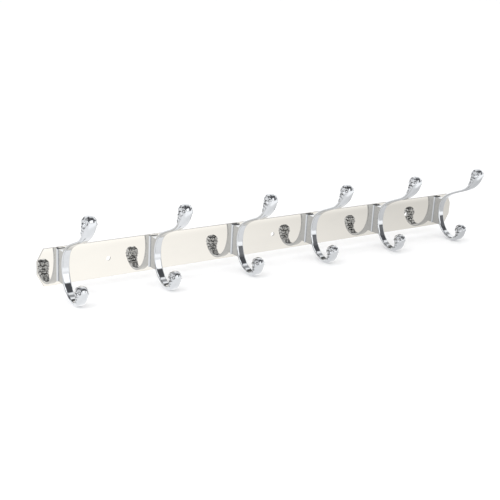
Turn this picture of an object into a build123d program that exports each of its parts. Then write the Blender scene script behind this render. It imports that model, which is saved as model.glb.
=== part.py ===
"""Wall hook rack: a polished steel rail carrying six cast double hooks.

Frame: X runs along the rail, +Y points into the wall, +Z is up.
Origin: centre of the rail's back face, which lies on the wall.
Units: millimetres, real size.
"""
from build123d import *
import math
import os

os.makedirs("parts", exist_ok=True)

# ---- driving dimensions ----------------------------------------------------
# rail
RAIL_LENGTH = 582.0
RAIL_HEIGHT = 40.0
RAIL_THICKNESS = 2.0
CORNER_ALONG = 7.2        # corner cut measured along the rail
CORNER_UP = 12.8          # corner cut measured up the end
WALL_HOLE_DIAMETER = 5.0
WALL_HOLE_SPACING = 212.0
WALL_HOLE_COUNT = 3
RAIL_EDGE_BREAK = 0.3     # small round on the front outline

# hooks along the rail
HOOK_COUNT = 6
HOOK_PITCH = 106.0

# foot block of a hook
FOOT_WIDTH = 7.8
FOOT_TOP = 18.3
FOOT_BOTTOM = -16.0
FOOT_END_DEPTH = 10.0     # straight part of the foot's top and bottom
FOOT_REACH = 15.0         # the foot's front follows the bar only this far out

# thin flange that spreads the foot on the rail
FLANGE_WIDTH = 10.8
FLANGE_THICKNESS = 1.0
FLANGE_MARGIN = 0.6       # how far the flange stands past the foot above and below
FLANGE_ROUND = 0.35

# corner radius of the bar's section, as a share of its thickness
BAR_CORNER_SHARE = 0.43

# The bar of a hook, from the lower end to the upper end.
# Each station: distance out from the rail's front face, height,
# width of the section along X, thickness of the section in the Y-Z plane.
LOWER_END = (47.6, -13.2, 10.8, 11.4)
UPPER_END = (64.0, 62.3, 12.0, 13.0)
BAR_STATIONS = [
    (47.9, -16.6, 10.6, 10.2),
    (47.8, -20.4, 9.9, 7.6),
    (45.9, -24.6, 9.1, 5.2),
    (41.6, -27.9, 8.3, 3.9),
    (35.4, -29.1, 7.8, 3.3),
    (28.6, -27.8, 7.6, 2.9),
    (22.3, -24.4, 7.6, 2.7),
    (17.0, -19.8, 7.8, 2.7),
    (13.3, -14.3, 8.0, 2.8),
    (10.8, -8.0, 8.0, 2.8),
    (9.4, -1.5, 8.0, 2.8),
    (9.2, 5.0, 8.0, 2.8),
    (10.2, 11.6, 8.0, 2.8),
    (12.9, 18.0, 8.0, 2.8),
    (17.3, 23.1, 7.8, 2.7),
    (23.0, 27.1, 7.6, 2.6),
    (29.4, 30.4, 7.6, 2.6),
    (36.0, 33.4, 7.6, 2.6),
    (42.8, 36.2, 7.8, 2.7),
    (49.4, 39.4, 8.4, 3.4),
    (55.4, 43.8, 9.8, 5.2),
    (60.2, 49.4, 11.4, 7.8),
    (63.2, 55.8, 12.7, 10.8),
]

# The knob on each end of the bar: width along X, depth out from the wall, height.
LOWER_KNOB = (11.2, 12.0, 11.6)
UPPER_KNOB = (12.4, 13.6, 13.6)
LOWER_KNOB_ROUND = 4.9
UPPER_KNOB_ROUND = 5.4

# cast relief: a ring with a boss on both flanks of each knob
RING_SHARE = 0.27         # ring radius as a share of the knob's height
RING_WIRE_RADIUS = 0.75
RING_SINK = 0.25          # how far the ring's centre line sits below the flank
BOSS_RADIUS = 1.3
BOSS_SINK = 0.5

# cast relief: beads down the side that faces the wall, from the knob on to the bar
BEAD_RADIUS = 1.15
BEAD_PITCH = 2.4          # from one row of beads to the next
# each column: place across as a share of the half width, then its share of the flank drop
BEAD_COLUMNS = [(-0.82, 1.0), (-0.41, 0.15), (0.0, 0.0), (0.41, 0.15), (0.82, 1.0)]
# The beads' middle line on each knob, from the top down.
# Each point: distance out, height, half width, and how far the surface drops towards the flanks.
LOWER_SPINE = [
    (44.0, -8.5, 4.4, 1.2),
    (42.0, -11.4, 5.6, 2.1),
    (41.9, -14.4, 5.6, 2.1),
    (43.1, -16.9, 5.3, 1.8),
    (44.4, -19.6, 4.9, 1.0),
]
UPPER_SPINE = [
    (59.7, 67.8, 5.0, 1.4),
    (57.7, 65.0, 6.2, 2.2),
    (57.5, 61.0, 6.3, 2.3),
    (58.2, 57.2, 6.2, 2.0),
    (57.8, 54.0, 5.8, 1.5),
]

# machine screws that hold each hook from behind the rail
SCREW_DIAMETER = 3.0
SCREW_CLEARANCE_DIAMETER = 3.4
SCREW_HEAD_DIAMETER = 5.6
SCREW_LENGTH = 8.0        # from the wall face to the tip
SCREW_HOLE_DEPTH = 8.5
SCREW_TIP_CHAMFER = 0.4
SINK_DIAMETER = 5.8
SCREW_HEIGHTS = {"upper": 9.0, "lower": -8.0}
RECESS_LENGTH = 3.0
RECESS_WIDTH = 0.7
RECESS_DEPTH = 0.9

# worked out from the sizes above
FRONT = -RAIL_THICKNESS   # Y of the rail's front face
# the countersink and the screw head are both 90 degree cones, so they seat on each other
SINK_DEPTH = (SINK_DIAMETER - SCREW_CLEARANCE_DIAMETER) / 2
SCREW_HEAD_HEIGHT = (SCREW_HEAD_DIAMETER - SCREW_DIAMETER) / 2
HEAD_BELOW_WALL = (SINK_DIAMETER - SCREW_HEAD_DIAMETER) / 2


def hook_x(index):
    """Centre of one hook along the rail, counted from the left."""
    return (index - (HOOK_COUNT - 1) / 2) * HOOK_PITCH


def at(out, up, x=0.0):
    """Point given by its distance out from the rail's front face and its height."""
    return (x, FRONT - out, up)


# ---- rail --------------------------------------------------------------------
hook_xs = [hook_x(index) for index in range(HOOK_COUNT)]
wall_hole_xs = [(n - (WALL_HOLE_COUNT - 1) / 2) * WALL_HOLE_SPACING for n in range(WALL_HOLE_COUNT)]
half_length = RAIL_LENGTH / 2
half_height = RAIL_HEIGHT / 2
rail_outline = [
    (-half_length + CORNER_ALONG, half_height),
    (half_length - CORNER_ALONG, half_height),
    (half_length, half_height - CORNER_UP),
    (half_length, -half_height + CORNER_UP),
    (half_length - CORNER_ALONG, -half_height),
    (-half_length + CORNER_ALONG, -half_height),
    (-half_length, -half_height + CORNER_UP),
    (-half_length, half_height - CORNER_UP),
]
# plane on the wall, looking from the front: x to the right, normal out of the wall
wall_plane = Plane(origin=(0, 0, 0), x_dir=(1, 0, 0), z_dir=(0, -1, 0))

with BuildPart() as rail:
    with BuildSketch(wall_plane):
        with BuildLine():
            Polyline(*rail_outline, close=True)
        make_face()
    extrude(amount=RAIL_THICKNESS)
    front_edges = rail.edges().filter_by_position(Axis.Y, FRONT - 0.01, FRONT + 0.01)
    fillet(front_edges, radius=RAIL_EDGE_BREAK)
    # plain holes for the wall screws
    with BuildSketch(wall_plane):
        with Locations(*[(x, 0) for x in wall_hole_xs]):
            Circle(WALL_HOLE_DIAMETER / 2)
    extrude(amount=RAIL_THICKNESS, mode=Mode.SUBTRACT)
    # clearance holes for the hook screws
    screw_points = [(x, up) for x in hook_xs for up in SCREW_HEIGHTS.values()]
    with BuildSketch(wall_plane):
        with Locations(*screw_points):
            Circle(SCREW_CLEARANCE_DIAMETER / 2)
    extrude(amount=RAIL_THICKNESS, mode=Mode.SUBTRACT)
    # countersinks on the back, so the screw heads stay below the wall face
    with Locations(*[Location((x, -SINK_DEPTH / 2, up), (-90, 0, 0)) for x, up in screw_points]):
        Cone(
            bottom_radius=SCREW_CLEARANCE_DIAMETER / 2,
            top_radius=SINK_DIAMETER / 2,
            height=SINK_DEPTH,
            mode=Mode.SUBTRACT,
        )
rail.part.label = "back_rail"
export_step(rail.part, "parts/back_rail.step")


# ---- hook casting --------------------------------------------------------------
stations = [LOWER_END] + BAR_STATIONS + [UPPER_END]


def bar_direction(index):
    """Direction of the bar at a station; both ends point straight up."""
    if index == 0:
        return (0, 0, -1)
    if index == len(stations) - 1:
        return (0, 0, 1)
    before = stations[index - 1]
    after = stations[index + 1]
    return (0, before[0] - after[0], after[1] - before[1])


def bead_places(spine):
    """Centres of the beads on one knob: rows spaced evenly down the spine, columns across each row."""
    places = []
    run = 0.0
    for near, far in zip(spine, spine[1:]):
        step = math.dist(near[:2], far[:2])
        along = ((far[0] - near[0]) / step, (far[1] - near[1]) / step)
        # rows that fall on this stretch of the spine
        rows = range(math.ceil(run / BEAD_PITCH), math.ceil((run + step) / BEAD_PITCH))
        for row in rows:
            share = (row * BEAD_PITCH - run) / step
            out, up, half_width, flank_drop = [a + (b - a) * share for a, b in zip(near, far)]
            for across, drop_share in BEAD_COLUMNS:
                drop = drop_share * flank_drop
                places.append(at(out - drop * along[1], up + drop * along[0], across * half_width))
        run += step
    return places


with BuildPart() as lower_knob:
    with Locations(at(LOWER_END[0], LOWER_END[1])):
        Box(*LOWER_KNOB)
    fillet(lower_knob.edges(), radius=LOWER_KNOB_ROUND)

with BuildPart() as upper_knob:
    with Locations(at(UPPER_END[0], UPPER_END[1])):
        Box(*UPPER_KNOB)
    fillet(upper_knob.edges(), radius=UPPER_KNOB_ROUND)

# stations that the front of the foot block follows
foot_front = [
    (out, up)
    for out, up, width, thickness in stations
    if FOOT_BOTTOM < up < FOOT_TOP and out < FOOT_REACH
]
side_plane = Plane.YZ.offset(-FOOT_WIDTH / 2)

with BuildPart() as hook:
    # flange that lies on the rail
    flange_front = FRONT - FLANGE_THICKNESS
    with Locations((0, (FRONT + flange_front) / 2, (FOOT_TOP + FOOT_BOTTOM) / 2)):
        Box(FLANGE_WIDTH, FLANGE_THICKNESS, FOOT_TOP - FOOT_BOTTOM + 2 * FLANGE_MARGIN)
    flange_edges = hook.edges().filter_by_position(Axis.Y, flange_front - 0.01, flange_front + 0.01)
    fillet(flange_edges, radius=FLANGE_ROUND)
    # foot block between the rail and the bar
    with BuildSketch(side_plane):
        with BuildLine():
            Polyline(
                (FRONT, FOOT_BOTTOM),
                (FRONT - FOOT_END_DEPTH, FOOT_BOTTOM),
                *[(FRONT - out, up) for out, up in foot_front],
                (FRONT - FOOT_END_DEPTH, FOOT_TOP),
                (FRONT, FOOT_TOP),
                close=True,
            )
        make_face()
    extrude(amount=FOOT_WIDTH)
    # the curved bar, one smooth body from end to end
    for index, (out, up, width, thickness) in enumerate(stations):
        direction = bar_direction(index)
        with BuildSketch(Plane(origin=at(out, up), x_dir=(1, 0, 0), z_dir=direction)):
            RectangleRounded(width, thickness, radius=BAR_CORNER_SHARE * thickness)
    loft()
    # knobs on the two ends, then the relief on each
    add(lower_knob.part)
    add(upper_knob.part)
    for end, knob in ((LOWER_END, LOWER_KNOB), (UPPER_END, UPPER_KNOB)):
        out, up = end[0], end[1]
        flank = knob[0] / 2
        for side in (-1, 1):
            with Locations(Location(at(out, up, side * (flank - RING_SINK)), (0, 90, 0))):
                Torus(major_radius=RING_SHARE * knob[2], minor_radius=RING_WIRE_RADIUS)
            with Locations(at(out, up, side * (flank - BOSS_SINK))):
                Sphere(radius=BOSS_RADIUS)
    for beads in (bead_places(LOWER_SPINE), bead_places(UPPER_SPINE)):
        with Locations(*beads):
            Sphere(radius=BEAD_RADIUS)
    # blind holes for the two screws
    for up in SCREW_HEIGHTS.values():
        with Locations(Location((0, -SCREW_HOLE_DEPTH / 2, up), (90, 0, 0))):
            Cylinder(radius=SCREW_DIAMETER / 2, height=SCREW_HOLE_DEPTH, mode=Mode.SUBTRACT)

for index, x in enumerate(hook_xs):
    casting = hook.part.moved(Location((x, 0, 0)))
    casting.label = f"hook_{index + 1}"
    export_step(casting, f"parts/hook_{index + 1}.step")


# ---- countersunk machine screws -------------------------------------------------
with BuildPart() as screw:
    # profile of the screw, turned about its axis
    with BuildSketch(Plane.XY):
        with BuildLine():
            Polyline(
                (0, -HEAD_BELOW_WALL),
                (SCREW_HEAD_DIAMETER / 2, -HEAD_BELOW_WALL),
                (SCREW_DIAMETER / 2, -HEAD_BELOW_WALL - SCREW_HEAD_HEIGHT),
                (SCREW_DIAMETER / 2, -SCREW_LENGTH),
                (0, -SCREW_LENGTH),
                close=True,
            )
        make_face()
    revolve(axis=Axis.Y)
    tip_edge = screw.edges().sort_by(Axis.Y)[0]
    chamfer(tip_edge, length=SCREW_TIP_CHAMFER)
    # cross recess in the head
    with Locations((0, -HEAD_BELOW_WALL - RECESS_DEPTH / 2, 0)):
        Box(RECESS_LENGTH, RECESS_DEPTH, RECESS_WIDTH, mode=Mode.SUBTRACT)
        Box(RECESS_WIDTH, RECESS_DEPTH, RECESS_LENGTH, mode=Mode.SUBTRACT)

for index, x in enumerate(hook_xs):
    for place, up in SCREW_HEIGHTS.items():
        fixing = screw.part.moved(Location((x, 0, up)))
        fixing.label = f"screw_{index + 1}_{place}"
        export_step(fixing, f"parts/screw_{index + 1}_{place}.step")
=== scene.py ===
"""Wall hook rack: six chrome-plated double hooks on a mirror-polished steel rail.

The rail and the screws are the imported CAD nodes. Each hook casting is built here
as one finer mesh that stands for its CAD node, with the cast relief of its knobs.
"""
import math

import bmesh
import bpy
from mathutils import Matrix, Vector


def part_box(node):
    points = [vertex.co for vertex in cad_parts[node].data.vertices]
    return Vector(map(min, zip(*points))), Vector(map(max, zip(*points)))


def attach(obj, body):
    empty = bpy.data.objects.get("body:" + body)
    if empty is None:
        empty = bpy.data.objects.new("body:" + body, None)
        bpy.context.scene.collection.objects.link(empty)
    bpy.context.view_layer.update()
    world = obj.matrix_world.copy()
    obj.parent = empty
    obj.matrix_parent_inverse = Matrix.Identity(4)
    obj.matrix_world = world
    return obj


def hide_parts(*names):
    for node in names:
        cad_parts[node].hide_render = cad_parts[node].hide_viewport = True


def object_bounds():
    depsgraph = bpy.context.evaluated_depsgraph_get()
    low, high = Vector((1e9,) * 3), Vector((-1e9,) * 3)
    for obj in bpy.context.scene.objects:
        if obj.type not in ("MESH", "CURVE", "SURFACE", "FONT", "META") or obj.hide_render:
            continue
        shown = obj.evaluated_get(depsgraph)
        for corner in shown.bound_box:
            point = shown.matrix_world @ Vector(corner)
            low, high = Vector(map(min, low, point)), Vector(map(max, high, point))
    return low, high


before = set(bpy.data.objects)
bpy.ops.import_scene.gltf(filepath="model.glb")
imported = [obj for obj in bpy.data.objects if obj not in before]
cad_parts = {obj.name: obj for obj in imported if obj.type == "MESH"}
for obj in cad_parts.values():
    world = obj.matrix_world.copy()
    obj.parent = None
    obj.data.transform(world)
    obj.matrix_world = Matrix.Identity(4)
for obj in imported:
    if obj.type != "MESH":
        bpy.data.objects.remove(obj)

MM = 0.001
cad_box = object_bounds()
RAIL_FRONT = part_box("back_rail")[0].y
HOOKS = ["hook_1", "hook_2", "hook_3", "hook_4", "hook_5", "hook_6"]
SCREWS = [f"screw_{number}_{place}" for number in range(1, 7) for place in ("upper", "lower")]
BODY = "root"
GROOVE = "groove"         # how deep in a groove each point of a casting lies, 0 to 1, or the foot's set amount; the chrome darkens by it as painted shade


# ---- shader maths -----------------------------------------------------------------
class Value:
    """A number socket that takes part in Python arithmetic."""

    def __init__(self, shader, socket):
        self.shader = shader
        self.socket = socket

    def math(self, operation, *terms):
        node = self.shader.node("ShaderNodeMath", {"operation": operation}, dict(enumerate(terms)))
        return Value(self.shader, node.outputs[0])

    def __add__(self, other):
        return self.math("ADD", self, other)

    __radd__ = __add__

    def __rsub__(self, other):
        return self.math("SUBTRACT", other, self)

    def __mul__(self, other):
        return self.math("MULTIPLY", self, other)

    __rmul__ = __mul__

    def __abs__(self):
        return self.math("ABSOLUTE", self)

    def step(self, low, high):
        """0 below low and 1 above high, smooth between them."""
        settings = {"interpolation_type": "SMOOTHSTEP"}
        node = self.shader.node("ShaderNodeMapRange", settings, {0: self, 1: low, 2: high})
        return Value(self.shader, node.outputs[0])


class Shader:
    """A node tree being put together."""

    def __init__(self, tree):
        self.tree = tree
        self.tree.nodes.clear()

    def node(self, kind, settings=None, sockets=None):
        """Any node: its settings first, then a value or a link for each socket."""
        node = self.tree.nodes.new(kind)
        for name, setting in (settings or {}).items():
            setattr(node, name, setting)
        for name, given in (sockets or {}).items():
            if isinstance(given, Value):
                given = given.socket
            if isinstance(given, bpy.types.NodeSocket):
                self.tree.links.new(given, node.inputs[name])
            else:
                node.inputs[name].default_value = given
        return node

    def value(self, node, output=0):
        return Value(self, node.outputs[output])

    def noise(self, where, scale, detail=2.0, roughness=0.5):
        sockets = {"Vector": where, "Scale": scale, "Detail": detail, "Roughness": roughness}
        return self.value(self.node("ShaderNodeTexNoise", {}, sockets), "Fac")

    def stretch(self, where, scale):
        """The same place with each axis scaled, so that a pattern on it is drawn out."""
        node = self.node("ShaderNodeVectorMath", {"operation": "MULTIPLY"}, {0: where, 1: scale})
        return node.outputs[0]

    def mix(self, factor, first, second):
        """Blend of two colours."""
        sockets = {0: factor, 6: first, 7: second}
        return self.node("ShaderNodeMix", {"data_type": "RGBA"}, sockets).outputs[2]

    def bump(self, height, distance, strength=1.0):
        sockets = {"Height": height, "Distance": distance, "Strength": strength}
        return self.node("ShaderNodeBump", {}, sockets).outputs[0]

    def surface(self, sockets):
        """Principled surface wired to the material's output."""
        principled = self.node("ShaderNodeBsdfPrincipled", {}, sockets)
        self.node("ShaderNodeOutputMaterial", {}, {"Surface": principled.outputs[0]})


def grey(level):
    """A colour with no hue."""
    return (level, level, level, 1.0)


def new_material(name):
    """A new material, its shader tree and the place on the piece as a vector."""
    material = bpy.data.materials.new(name)
    material.use_nodes = True
    shader = Shader(material.node_tree)
    place = shader.node("ShaderNodeTexCoord").outputs["Object"]
    return material, shader, place


# ---- finishes ---------------------------------------------------------------------
def chrome_plate():
    """Bright plating over a die casting: clear and cool, rougher down in the grooves, with painted
    shade darkening the grooves and the foot.
    """
    material, shader, place = new_material("chrome_plate")
    swell = shader.noise(place, 90.0, detail=1.0)
    haze = shader.noise(place, 260.0, detail=4.0, roughness=0.6)
    smear = shader.noise(shader.stretch(place, (1.0, 1.0, 0.35)), 45.0, detail=2.0)
    patches = shader.noise(place, 240.0, detail=1.0)
    groove = shader.value(shader.node("ShaderNodeAttribute", {"attribute_name": GROOVE}), "Fac")
    # painted shade: the groove value darkens the plating towards near black in patches, and also
    # makes it rougher
    shade_and_dullness = groove * (0.2 + 0.8 * patches.step(0.42, 0.54))
    bright, clouded = (0.525, 0.538, 0.555, 1.0), (0.500, 0.512, 0.530, 1.0)
    # near-black colour of the painted shade in the grooves and on the foot
    groove_shade_colour = (0.045, 0.043, 0.044, 1.0)
    plating = shader.mix(haze.step(0.35, 0.75), bright, clouded)
    shader.surface({
        "Metallic": 1.0,
        "Base Color": shader.mix(shade_and_dullness, plating, groove_shade_colour),
        "Roughness": 0.035 + 0.035 * smear.step(0.5, 0.8) + 0.02 * haze + 0.25 * shade_and_dullness,
        "Normal": shader.bump(swell, 0.00012, 0.35),
    })
    return material


def mirror_steel():
    """Stainless sheet polished to a mirror: warm, with faint rolling marks and wiping haze."""
    material, shader, place = new_material("polished_steel")
    rolling = shader.noise(shader.stretch(place, (12.0, 300.0, 900.0)), 1.0, detail=3.0)
    wiping = shader.noise(shader.stretch(place, (9.0, 9.0, 22.0)), 1.0, detail=4.0, roughness=0.62)
    specks = shader.noise(place, 1400.0, detail=1.0)
    marks = wiping.step(0.45, 0.72)
    clean, wiped = (0.690, 0.667, 0.620, 1.0), (0.672, 0.651, 0.608, 1.0)
    unpolished = (0.40, 0.39, 0.375, 1.0)
    polished = shader.mix(marks, clean, wiped)
    # the cut edges and the holes do not face along Y: they are sheared and left unpolished
    normal = shader.node("ShaderNodeNewGeometry").outputs["Normal"]
    facing = shader.value(shader.node("ShaderNodeSeparateXYZ", {}, {0: normal}), 1)
    sheared = 1 - abs(facing).step(0.75, 0.97)
    shader.surface({
        "Metallic": 1.0,
        "Base Color": shader.mix(sheared, polished, unpolished),
        "Roughness": 0.012 + 0.02 * marks + 0.01 * specks.step(0.6, 0.75) + 0.32 * sheared,
        "Normal": shader.bump(rolling, 0.00002, 0.12),
    })
    return material


def zinc_screw():
    """Zinc-plated screw steel with fine turning marks."""
    material, shader, place = new_material("screw_steel")
    grain = shader.noise(place, 900.0, detail=3.0)
    stain = shader.noise(place, 160.0, detail=2.0)
    colour = shader.mix(stain.step(0.35, 0.7), (0.62, 0.62, 0.61, 1.0), (0.50, 0.50, 0.48, 1.0))
    shader.surface({
        "Metallic": 1.0,
        "Base Color": colour,
        "Roughness": 0.26 + 0.18 * grain,
        "Normal": shader.bump(grain, 0.00006, 0.4),
    })
    return material


def studio_floor():
    """Matt pale board with a barely visible tooth."""
    material, shader, place = new_material("studio_floor")
    tooth = shader.noise(place, 60.0, detail=3.0)
    colour = shader.mix(tooth, (0.90, 0.90, 0.905, 1.0), (0.915, 0.915, 0.92, 1.0))
    shader.surface({
        "Base Color": colour,
        "Roughness": 0.82 + 0.08 * tooth,
        "Normal": shader.bump(tooth, 0.0002, 0.1),
    })
    return material


# ---- hook casting -----------------------------------------------------------------
# The casting's spine from the lower knob to the upper knob, in millimetres:
# distance out from the rail's front face, height, width along the rail, thickness.
SPINE = [
    (47.6, -15.0, 11.2, 11.9),
    (47.9, -17.4, 10.9, 10.3),
    (47.8, -20.4, 10.4, 8.2),
    (45.9, -24.6, 9.6, 5.5),
    (41.6, -27.9, 9.0, 4.0),
    (35.4, -29.1, 8.6, 3.4),
    (28.6, -27.8, 8.4, 3.1),
    (22.3, -24.4, 8.4, 3.0),
    (17.0, -19.8, 8.6, 3.0),
    (13.3, -14.3, 8.8, 3.1),
    (10.8, -8.0, 8.8, 3.1),
    (9.4, -1.5, 8.8, 3.1),
    (9.2, 5.0, 8.8, 3.1),
    (10.2, 11.6, 8.8, 3.1),
    (12.9, 18.0, 8.7, 3.1),
    (17.3, 23.1, 8.5, 3.0),
    (23.0, 27.1, 8.3, 2.9),
    (29.4, 30.4, 8.2, 2.8),
    (36.0, 33.4, 8.2, 2.8),
    (42.8, 36.2, 8.4, 2.9),
    (49.4, 39.4, 9.1, 3.7),
    (55.4, 43.8, 10.4, 5.6),
    (60.2, 49.4, 11.6, 8.4),
    (63.0, 55.4, 12.4, 11.8),
    (63.9, 60.2, 12.5, 13.3),
]
# The sections, in millimetres. A drop is a length down the spine from a knob's middle.
LOWER_DOME = 7.5          # height of each dome above its knob's widest section
UPPER_DOME = 8.8
DOME_SQUARENESS = 2.35    # 2 is round, more is boxier
KNOB_SQUARENESS = 2.6
UPRIGHT_DROP = 5.0        # the casting turns upright over this length at each knob
BAR_START = 3.0           # drop at which the knob's oval starts to turn into the bar's section
BAR_BLEND = 9.0           # length over which it turns
BAR_FLAT = 0.5            # share of the turn from edge to edge that lies on the bar's flat faces

# How finely the skin is drawn.
SAMPLES = 40              # samples between two points of the spine
EASINGS = 2               # how often the row of samples is evened out
AROUND = 144              # points around each section
DOME_STEPS = 34
FINE_STEP = 0.33          # spacing of sections over the relief
PLAIN_STEP = 1.1
EDGE_STEPS = 5            # facets across a softened edge of the foot

# The cast relief, in millimetres and in degrees from the wall side.
RELIEF_REACH = 25.0       # drop at which all relief has ended
BEAD_PITCH = 4.1
BEAD_RADIUS = 2.2
BEAD_RISE = 1.4
BEAD_REACH = 18.0         # drop at which the beads end
BEAD_CROWN = -7.5         # drop of the topmost beads, up on the dome
BEAD_SPREAD = 136         # degrees the beads reach round the knob, to both sides
BEAD_NARROWING = 4.6      # degrees lost for each millimetre further down
BEAD_FADE = 25            # degrees over which the beads flatten out at the edge of their patch
GROOVE_START = 0.7        # the groove round a bead starts at this share of its radius
GROOVE_SLOPE = 0.25       # and is full after this share more
RING_TURN = 127           # the ring sits between flank and front
RING_LIFT = 2.6           # above the knob's widest section
RING_RADIUS = 2.7
RING_RISE = 0.7
RING_WIDTH = 0.6
RING_GROOVE = 1.55        # radius of the groove between the ring and its boss
RING_GROOVE_WIDTH = 0.75
BOSS_RISE = 0.85
BOSS_WIDTH = 0.95
RIB_RISE = 0.22
RIB_COUNT = 13
RIB_START = 2.0           # drop at which the ribs start to rise
RIB_GROWTH = 4.0
RIB_REACH = 17.0          # drop at which the ribs end
RIB_FADE = 8.0
RIB_TURN = 150            # the ribs stop short of the front
RIB_TURN_FADE = 30

# The foot block and its flange, in millimetres.
FOOT_WIDTH = 7.8
FOOT_TOP = 18.3
FOOT_BOTTOM = -16.0
FOOT_TOP_DEPTH = 12.0     # how far out the flat top runs, into the bar
FOOT_BOTTOM_DEPTH = 12.6
FOOT_REACH = 14           # the foot's front follows the bar only this far out
FOOT_ROUND = 0.6
FOOT_SHADE_AND_DULLNESS = 0.06      # painted shade on the whole foot block, which also makes it a little rougher
SHARP_EDGE = 30           # degrees; sharper edges of the foot are softened
FLANGE_WIDTH = 10.8
FLANGE_THICKNESS = 1.0
FLANGE_MARGIN = 0.6       # how far the flange stands past the foot above and below
FLANGE_SLOPE = 1.0        # how far each side of the flange slopes in


def curve_through(points, share, index):
    """Point of the smooth curve between points[index] and points[index + 1]."""
    last = len(points) - 1
    before = points[max(index - 1, 0)]
    start = points[index]
    end = points[index + 1]
    after = points[min(index + 2, last)]
    blend = []
    for a, b, c, d in zip(before, start, end, after):
        leave = (c - a) / 2
        arrive = (d - b) / 2
        cube = 2 * (b - c) + leave + arrive
        square = 3 * (c - b) - 2 * leave - arrive
        blend.append(((cube * share + square) * share + leave) * share + b)
    return blend


def eased(samples):
    """The same row of samples with each one averaged over its neighbours; the ends stay put."""
    sums = [[0.0] * len(samples[0])]
    for sample in samples:
        sums.append([total + value for total, value in zip(sums[-1], sample)])
    last = len(samples) - 1
    averaged = []
    for index in range(len(samples)):
        reach = min(index, last - index, SAMPLES // 2)
        low, high = sums[index - reach], sums[index + reach + 1]
        averaged.append([(b - a) / (2 * reach + 1) for a, b in zip(low, high)])
    return averaged


def spine_sections():
    """Sections along the spine: centre, heading, half sizes, length from either end."""
    samples = []
    for index in range(len(SPINE) - 1):
        for part in range(SAMPLES):
            samples.append(curve_through(SPINE, part / SAMPLES, index))
    samples.append(list(SPINE[-1]))
    for _ in range(EASINGS):
        samples = eased(samples)
    lengths = [0.0]
    for near, far in zip(samples, samples[1:]):
        lengths.append(lengths[-1] + math.dist(near[:2], far[:2]))
    total = lengths[-1]
    stops = []
    run = 0.0
    while run < total:
        stops.append(run)
        run += FINE_STEP if min(run, total - run) < RELIEF_REACH else PLAIN_STEP
    stops.append(total)
    sections = []
    index = 0
    for stop in stops:
        while index < len(lengths) - 2 and lengths[index + 1] < stop:
            index += 1
        share = (stop - lengths[index]) / (lengths[index + 1] - lengths[index])
        near, far = samples[index], samples[index + 1]
        out, up, width, thick = (a + (b - a) * share for a, b in zip(near, far))
        heading = Vector((far[0] - near[0], far[1] - near[1])).normalized()
        # both knobs stand upright
        for reach, upright in ((stop, Vector((0, -1))), (total - stop, Vector((0, 1)))):
            if reach < UPRIGHT_DROP:
                heading = heading.lerp(upright, 1 - reach / UPRIGHT_DROP).normalized()
        sections.append((out, up, heading, width / 2, thick / 2, stop, total - stop))
    return sections


def clamp(amount):
    """The amount kept between 0 and 1."""
    return max(0.0, min(amount, 1.0))


def knob_relief(drop, turn, arc, around):
    """Height of the cast relief, and how deep in a groove the point lies.

    The turn in degrees and the arc in millimetres are both measured round the section
    from the middle of its wall side; around is the section's mean radius.
    """
    if drop > RELIEF_REACH:
        return 0.0, 0.0
    height = 0.0
    groove = 0.0
    # staggered rows of beads over the side that faces the wall, narrowing down the neck
    spread = BEAD_SPREAD - BEAD_NARROWING * max(drop, 0.0)
    if BEAD_CROWN < drop < BEAD_REACH and abs(turn) < spread:
        row = round(drop / BEAD_PITCH)
        shift = BEAD_PITCH / 2 * (row % 2)
        across = arc - shift - BEAD_PITCH * round((arc - shift) / BEAD_PITCH)
        gap = math.hypot(drop - row * BEAD_PITCH, across) / BEAD_RADIUS
        inside = clamp((spread - abs(turn)) / BEAD_FADE)
        height = BEAD_RISE * inside * math.sqrt(max(0.0, 1 - gap ** 2))
        groove = inside * clamp((gap - GROOVE_START) / GROOVE_SLOPE)
    # a ring with a boss between each flank and the front
    across = math.radians(abs(turn) - RING_TURN) * around
    radius = math.hypot(drop + RING_LIFT, across)
    if radius < RING_RADIUS + RING_WIDTH:
        height = 0.0
        groove = clamp(1 - abs(radius - RING_GROOVE) / RING_GROOVE_WIDTH)
    ring = RING_RISE * math.exp(-((radius - RING_RADIUS) / RING_WIDTH) ** 2)
    boss = BOSS_RISE * math.exp(-(radius / BOSS_WIDTH) ** 2)
    height = max(height, ring, boss)
    # fine ribs run down from the knob and fade out on the neck
    fade = clamp((drop - RIB_START) / RIB_GROWTH) * clamp((RIB_REACH - drop) / RIB_FADE)
    fade *= clamp((RIB_TURN - abs(turn)) / RIB_TURN_FADE)
    ribs = RIB_RISE * fade * (0.5 + 0.5 * math.cos(math.radians(turn) * RIB_COUNT))
    return height + ribs, groove


def section_point(c, s, half_width, half_thick, drop):
    """Place on a section for a turn's cosine c and sine s.

    It is a boxy oval at the knob and turns into a flat bar with round edges below it.
    """
    power = 2.0 / KNOB_SQUARENESS
    across, forth = math.copysign(abs(c) ** power, c), math.copysign(abs(s) ** power, s)
    oval = Vector((across * half_width, forth * half_thick))
    bar_share = clamp((drop - BAR_START) / BAR_BLEND)
    if bar_share == 0.0:
        return oval
    level = half_width - half_thick
    if abs(c) < BAR_FLAT:
        flat = Vector((level * c / BAR_FLAT, math.copysign(half_thick, s)))
    else:
        bend = math.pi / 2 * (abs(c) - BAR_FLAT) / (1 - BAR_FLAT)
        across = level + half_thick * math.sin(bend)
        flat = Vector((math.copysign(across, c), math.copysign(half_thick * math.cos(bend), s)))
    return oval.lerp(flat, bar_share)


def arcs_from(points, middle):
    """Length round a closed section from its middle point, up to halfway on both sides."""
    count = len(points)
    arcs = [0.0] * count
    for way in (-1, 1):
        for step in range(1, count // 2):
            here, before = (middle + way * step) % count, (middle + way * (step - 1)) % count
            arcs[here] = arcs[before] + way * (points[here] - points[before]).length
    return arcs


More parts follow.
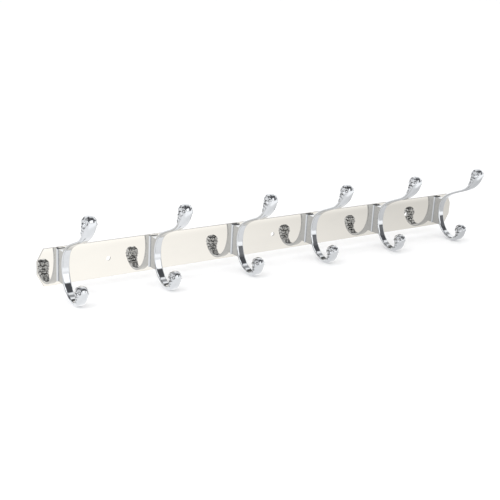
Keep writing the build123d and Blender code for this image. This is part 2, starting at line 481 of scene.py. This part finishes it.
def section_ring(mesh, x, section, drop, wall_side):
    """Points around one section, with the relief added outwards.

    wall_side is 1 where the section's second axis points at the wall and -1 where it points away.
    """
    out, up, heading, half_width, half_thick = section
    ring = []
    around = (half_width + half_thick) / 2
    outward = Vector((heading.y, -heading.x))
    angles = [2 * math.pi * step / AROUND for step in range(AROUND)]
    turns = [(math.cos(angle), math.sin(angle)) for angle in angles]
    points = [section_point(c, s, half_width, half_thick, drop) for c, s in turns]
    arcs = arcs_from(points, AROUND // 4 if wall_side > 0 else 3 * AROUND // 4)
    for (c, s), (across, forth), arc in zip(turns, points, arcs):
        # 0 degrees on the side that faces the wall, 180 at the front
        turn = math.degrees(math.atan2(c, wall_side * s))
        rise, groove = knob_relief(drop, turn, arc, around)
        normal = Vector((across / half_width ** 2, forth / half_thick ** 2)).normalized()
        across += normal.x * rise
        forth += normal.y * rise
        place = Vector((out, up)) + outward * forth
        point = mesh.verts.new((x + across * MM, RAIL_FRONT - place.x * MM, place.y * MM))
        point[mesh.verts.layers.float[GROOVE]] = groove
        ring.append(point)
    return ring


def bridge(mesh, first, second):
    """Faces between two neighbouring rings of points."""
    for step in range(AROUND):
        ahead = (step + 1) % AROUND
        mesh.faces.new((first[step], first[ahead], second[ahead], second[step]))


def dome_rings(mesh, x, section, dome, wall_side):
    """Sections that close one knob, from its widest section up to its crown."""
    out, up, heading, half_width, half_thick = section[:5]
    rings = []
    for step in range(1, DOME_STEPS):
        lean = math.pi / 2 * step / DOME_STEPS
        shrink = math.cos(lean) ** (2 / DOME_SQUARENESS)
        lift = dome * math.sin(lean) ** (2 / DOME_SQUARENESS)
        smaller = (out, up + lift, heading, half_width * shrink, half_thick * shrink)
        rings.append(section_ring(mesh, x, smaller, -lift, wall_side))
    crown = mesh.verts.new((x, RAIL_FRONT - out * MM, (up + dome) * MM))
    return rings, crown


def sweep_casting(mesh, x):
    """The bar with its two knobs, as one closed skin."""
    sections = spine_sections()
    lower_rings, lower_crown = dome_rings(mesh, x, sections[0], LOWER_DOME, 1)
    upper_rings, upper_crown = dome_rings(mesh, x, sections[-1], UPPER_DOME, -1)
    body = []
    for section in sections:
        from_low, from_high = section[5:]
        drop = min(from_low, from_high)
        wall_side = 1 if from_low < from_high else -1
        body.append(section_ring(mesh, x, section[:5], drop, wall_side))
    rings = list(reversed(lower_rings)) + body + upper_rings
    for first, second in zip(rings, rings[1:]):
        bridge(mesh, first, second)
    for step in range(AROUND):
        ahead = (step + 1) % AROUND
        mesh.faces.new((lower_crown, rings[0][ahead], rings[0][step]))
        mesh.faces.new((upper_crown, rings[-1][step], rings[-1][ahead]))


def foot_block(mesh, x):
    """The block between the rail and the bar, with softened edges; returns its flat faces."""
    outline = [(0.0, FOOT_BOTTOM), (FOOT_BOTTOM_DEPTH, FOOT_BOTTOM)]
    for out, up, _, _ in SPINE:
        if FOOT_BOTTOM < up < FOOT_TOP and out < FOOT_REACH:
            outline.append((out, up))
    outline += [(FOOT_TOP_DEPTH, FOOT_TOP), (0.0, FOOT_TOP)]
    sides = []
    for side in (-1, 1):
        across = x + side * (FOOT_WIDTH / 2) * MM
        places = [(across, RAIL_FRONT - out * MM, up * MM) for out, up in outline]
        sides.append([mesh.verts.new(place) for place in places])
    left, right = sides
    # the whole foot block gets its painted shade, and some roughness, through the groove value
    for point in left + right:
        point[mesh.verts.layers.float[GROOVE]] = FOOT_SHADE_AND_DULLNESS
    faces = [mesh.faces.new(left), mesh.faces.new(list(reversed(right)))]
    count = len(outline)
    for step in range(count):
        ahead = (step + 1) % count
        faces.append(mesh.faces.new((left[ahead], left[step], right[step], right[ahead])))
    edges = dict.fromkeys(edge for face in faces for edge in face.edges)
    sharp = [edge for edge in edges if edge.calc_face_angle(0.0) > math.radians(SHARP_EDGE)]
    softened = bmesh.ops.bevel(
        mesh, geom=sharp, offset=FOOT_ROUND * MM, segments=EDGE_STEPS, profile=0.5, affect="EDGES"
    )["faces"]
    return [face for face in faces if face.is_valid and face not in softened]


def flange(mesh, x):
    """The thin flange that spreads the foot on the rail, sloping on all four sides."""
    low, high = FOOT_BOTTOM - FLANGE_MARGIN, FOOT_TOP + FLANGE_MARGIN
    levels = []
    for inset, out in ((0.0, 0.0), (FLANGE_SLOPE, FLANGE_THICKNESS)):
        reach = FLANGE_WIDTH / 2 - inset
        lower, upper = low + inset, high - inset
        corners = [(-reach, lower), (reach, lower), (reach, upper), (-reach, upper)]
        places = [(x + across * MM, RAIL_FRONT - out * MM, up * MM) for across, up in corners]
        levels.append([mesh.verts.new(place) for place in places])
    base, top = levels
    faces = [mesh.faces.new(top), mesh.faces.new(list(reversed(base)))]
    for step in range(len(base)):
        ahead = (step + 1) % len(base)
        faces.append(mesh.faces.new((base[step], base[ahead], top[ahead], top[step])))
    return faces


def build_hook(node, material):
    """One casting, standing for its CAD node."""
    low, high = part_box(node)
    mesh = bmesh.new()
    mesh.verts.layers.float.new(GROOVE)
    x = (low.x + high.x) / 2
    sweep_casting(mesh, x)
    flats = foot_block(mesh, x) + flange(mesh, x)
    bmesh.ops.recalc_face_normals(mesh, faces=mesh.faces)
    for face in mesh.faces:
        face.smooth = True
    for face in flats:
        face.smooth = False
    data = bpy.data.meshes.new(f"{node}_casting")
    mesh.to_mesh(data)
    mesh.free()
    data.materials.append(material)
    casting = bpy.data.objects.new(f"{node}_casting", data)
    bpy.context.collection.objects.link(casting)
    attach(casting, BODY)
    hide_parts(node)


chrome = chrome_plate()
steel = mirror_steel()
zinc = zinc_screw()
for hook in HOOKS:
    build_hook(hook, chrome)
for node, finish in [("back_rail", steel)] + [(screw, zinc) for screw in SCREWS]:
    for slot in bpy.data.objects[node].material_slots:
        slot.material = finish


# ---- stage ------------------------------------------------------------------------
# Places and sizes here are in metres.
FLOOR_REACH = 12.0
FLOOR_GAP = 0.0003        # the floor lies this far below the lowest hook
CARD_GAP = 0.0001         # and the card this far, so it lies just above the floor
CARD_START = 0.002        # the card starts this far in front of the rail
CARD_REACH = 3.0
CARD_GLOW_LEFT = 1.46     # glow beside the left end of the rack
CARD_GLOW_RIGHT = 0.92
CARD_GLOW_FAR = 1.75      # glow further out in front
CARD_FALL = (-0.34, 0.46)      # X where the glow beside the rack starts and ends its fall
CARD_RISE = (0.125, 0.18)      # distances in front over which the glow rises to the far value
ROOM_STRENGTH = 1.5
EVEN_LIGHT = 1.14
WINDOW_STRENGTH = 0.5     # added to the room's strength in the window
BEAM_DARKNESS = 0.7       # of the full darkness of the ceiling
STAND_DARKNESS = 0.93


def stage_sheet(name, corners, height, material):
    """One flat sheet of the stage."""
    data = bpy.data.meshes.new(name)
    data.from_pydata([(x, y, 0) for x, y in corners], [], [(0, 1, 2, 3)])
    data.materials.append(material)
    sheet = bpy.data.objects.new(name, data)
    sheet.location.z = height
    bpy.context.collection.objects.link(sheet)
    return sheet


def add_floor():
    """Wide floor just below the lowest hook."""
    reach = FLOOR_REACH
    corners = [(-reach, -reach), (reach, -reach), (reach, reach), (-reach, reach)]
    stage_sheet("floor", corners, cad_box[0].z - FLOOR_GAP, studio_floor())


def card_glow():
    """Glow that falls off from left to right beside the rack and is even further out."""
    material, shader, place = new_material("bounce_card")
    split = shader.node("ShaderNodeSeparateXYZ", {}, {0: place})
    along, away = shader.value(split, 0), abs(shader.value(split, 1))
    left, right = grey(CARD_GLOW_LEFT / CARD_GLOW_FAR), grey(CARD_GLOW_RIGHT / CARD_GLOW_FAR)
    beside_rack = shader.mix(along.step(*CARD_FALL), left, right)
    shader.surface({
        "Base Color": grey(0.0),
        "Roughness": 1.0,
        "Specular IOR Level": 0.0,
        "Emission Color": shader.mix(away.step(*CARD_RISE), beside_rack, grey(1.0)),
        "Emission Strength": CARD_GLOW_FAR,
    })
    return material


def add_bounce_card():
    """Glowing card flat in front of the rack, seen only in the polished metal."""
    near, reach = RAIL_FRONT - CARD_START, CARD_REACH
    corners = [(-reach, -reach), (reach, -reach), (reach, near), (-reach, near)]
    card = stage_sheet("bounce_card", corners, cad_box[0].z - CARD_GAP, card_glow())
    card.visible_camera = False
    card.visible_diffuse = False
    card.visible_shadow = False


def add_left_softbox():
    """Soft lamp high at the left front, aimed at the rack."""
    place, aim = Vector((-1.5, -0.5, 1.1)), Vector((-0.1, -0.1, 0.0))
    data = bpy.data.lights.new("left_softbox", "AREA")
    data.shape = "SQUARE"
    data.size = 1.4
    data.energy = 14.0
    lamp = bpy.data.objects.new("left_softbox", data)
    lamp.location = place
    lamp.rotation_mode = "QUATERNION"
    lamp.rotation_quaternion = (aim - place).to_track_quat("-Z", "Y")
    bpy.context.collection.objects.link(lamp)


def add_room():
    """A white room with dark parts overhead, at the left and at the front right."""
    world = bpy.data.worlds.new("white_room")
    world.use_nodes = True
    shader = Shader(world.node_tree)
    toward = shader.node("ShaderNodeTexCoord").outputs["Generated"]
    split = shader.node("ShaderNodeSeparateXYZ", {}, {0: toward})
    x, y, z = (shader.value(split, axis) for axis in range(3))
    right_side = x.step(0.10, 0.20)
    ceiling = z.step(0.50, 0.58) * (1 - y.step(-0.14, -0.08)) * right_side
    back_beam = z.step(0.55, 0.62) * y.step(0.02, 0.08) * (1 - y.step(0.22, 0.34)) * right_side
    left_ceiling = z.step(0.44, 0.52) * (1 - y.step(0.50, 0.62)) * (1 - right_side)
    left_stand = (1 - x.step(-0.78, -0.68)) * z.step(0.05, 0.10)
    stand_width = x.step(0.50, 0.54) * (1 - x.step(0.80, 0.88))
    stand = stand_width * (1 - y.step(-0.20, -0.12)) * z.step(0.02, 0.06)
    dark = back_beam * BEAM_DARKNESS
    for part in (ceiling, stand * STAND_DARKNESS, left_ceiling, left_stand):
        dark = dark.math("MAXIMUM", dark, part)
    window = (1 - y.step(-0.74, -0.66)) * z.step(0.08, 0.12) * (1 - z.step(0.50, 0.56))
    # only mirror-like surfaces see the room; everything else gets even white light
    rays = shader.node("ShaderNodeLightPath")
    mirrored = shader.value(rays, "Is Glossy Ray")
    seen = mirrored * (1 - shader.value(rays, "Is Diffuse Ray"))
    colour = shader.mix(dark * seen, grey(1.0), (0.085, 0.087, 0.092, 1.0))
    strength = EVEN_LIGHT + (ROOM_STRENGTH - EVEN_LIGHT + WINDOW_STRENGTH * window) * seen
    sockets = {"Color": colour, "Strength": strength}
    background = shader.node("ShaderNodeBackground", {}, sockets)
    shader.node("ShaderNodeOutputWorld", {}, {"Surface": background.outputs[0]})
    bpy.context.scene.world = world


add_floor()
add_bounce_card()
add_room()
add_left_softbox()


# ---- camera -----------------------------------------------------------------------
def add_camera(aim, distance, turn, tilt, roll, lens):
    """Camera looking at a point from a distance in metres.

    In degrees: the turn is to the right of +Y, the tilt above the horizon, the roll about the view.
    """
    a, e, r = (math.radians(degrees) for degrees in (turn, tilt, roll))
    ahead = Vector((math.sin(a) * math.cos(e), math.cos(a) * math.cos(e), math.sin(e)))
    level = Vector((math.cos(a), -math.sin(a), 0))
    upright = level.cross(ahead)
    right = level * math.cos(r) + upright * math.sin(r)
    up = upright * math.cos(r) - level * math.sin(r)
    place = aim - ahead * distance
    data = bpy.data.cameras.new("camera")
    data.lens = lens
    data.sensor_width = 36
    data.clip_start = 0.01
    data.clip_end = 100
    camera = bpy.data.objects.new("camera", data)
    turned = Matrix((right, up, -ahead)).transposed().to_4x4()
    camera.matrix_world = Matrix.Translation(place) @ turned
    bpy.context.collection.objects.link(camera)
    bpy.context.scene.camera = camera


rack_middle = Vector((-0.0311, RAIL_FRONT, -0.0153))
add_camera(rack_middle, 1.1234, turn=35.62, tilt=-17.43, roll=3.2, lens=70.2)
bpy.context.scene.view_settings.view_transform = "Standard"
